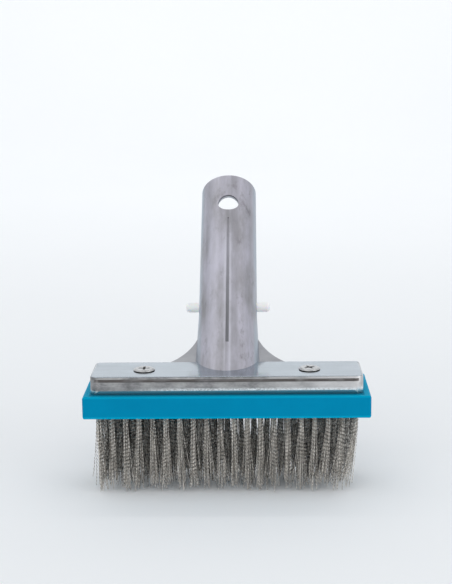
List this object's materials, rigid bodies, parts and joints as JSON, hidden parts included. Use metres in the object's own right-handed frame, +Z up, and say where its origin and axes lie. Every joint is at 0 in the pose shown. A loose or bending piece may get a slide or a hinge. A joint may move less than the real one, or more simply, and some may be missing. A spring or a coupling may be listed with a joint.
{
  "type": "pool wall brush",
  "caption": "Pool wall brush: crimped steel wire tufts in a flat plastic block, under a cast metal plate with a leaning tube that locks into a pole with sprung side pins.",
  "frame": {"origin": "middle of the block's underside, where the wire tufts leave it", "axes": "+X along the head, +Y the side that the handle leans to, +Z up, away from the bristles"},
  "size_m": [0.127, 0.1331, 0.1289],
  "materials": {
    "cast_aluminium": "satin, tumbled casting",
    "teal_plastic": "satin",
    "screw_steel": "bright",
    "nylon": "satin, slightly clear",
    "bristle_steel": "drawn wire",
    "staple_steel": "drawn wire"
  },
  "bodies": {
    "head": {"handle_tube": "cast_aluminium", "flange_plate": "cast_aluminium", "brush_block": "teal_plastic", "screw_left": "screw_steel", "screw_right": "screw_steel", "clip_bow": "nylon", "tufts_row_1_left": "bristle_steel", "tufts_row_1_right": "bristle_steel", "tufts_row_2_left": "bristle_steel", "tufts_row_2_right": "bristle_steel", "tufts_row_3_left": "bristle_steel", "tufts_row_3_right": "bristle_steel", "tufts_row_4_left": "bristle_steel", "tufts_row_4_right": "bristle_steel", "tufts_row_5_left": "bristle_steel", "tufts_row_5_right": "bristle_steel", "staples_row_1": "staple_steel", "staples_row_2": "staple_steel", "staples_row_3": "staple_steel", "staples_row_4": "staple_steel", "staples_row_5": "staple_steel"},
    "pin_left": {"clip_pin_left": "nylon"},
    "pin_right": {"clip_pin_right": "nylon"}
  },
  "joints": [
    {"name": "press_pin_left", "type": "slide", "parent": "head", "child": "pin_left", "axis": [1, 0, 0], "range_m": [0, 0.0062], "stiffness_N_per_m": 2500},
    {"name": "press_pin_right", "type": "slide", "parent": "head", "child": "pin_right", "axis": [-1, 0, 0], "range_m": [0, 0.0062], "stiffness_N_per_m": 2500}
  ]
}
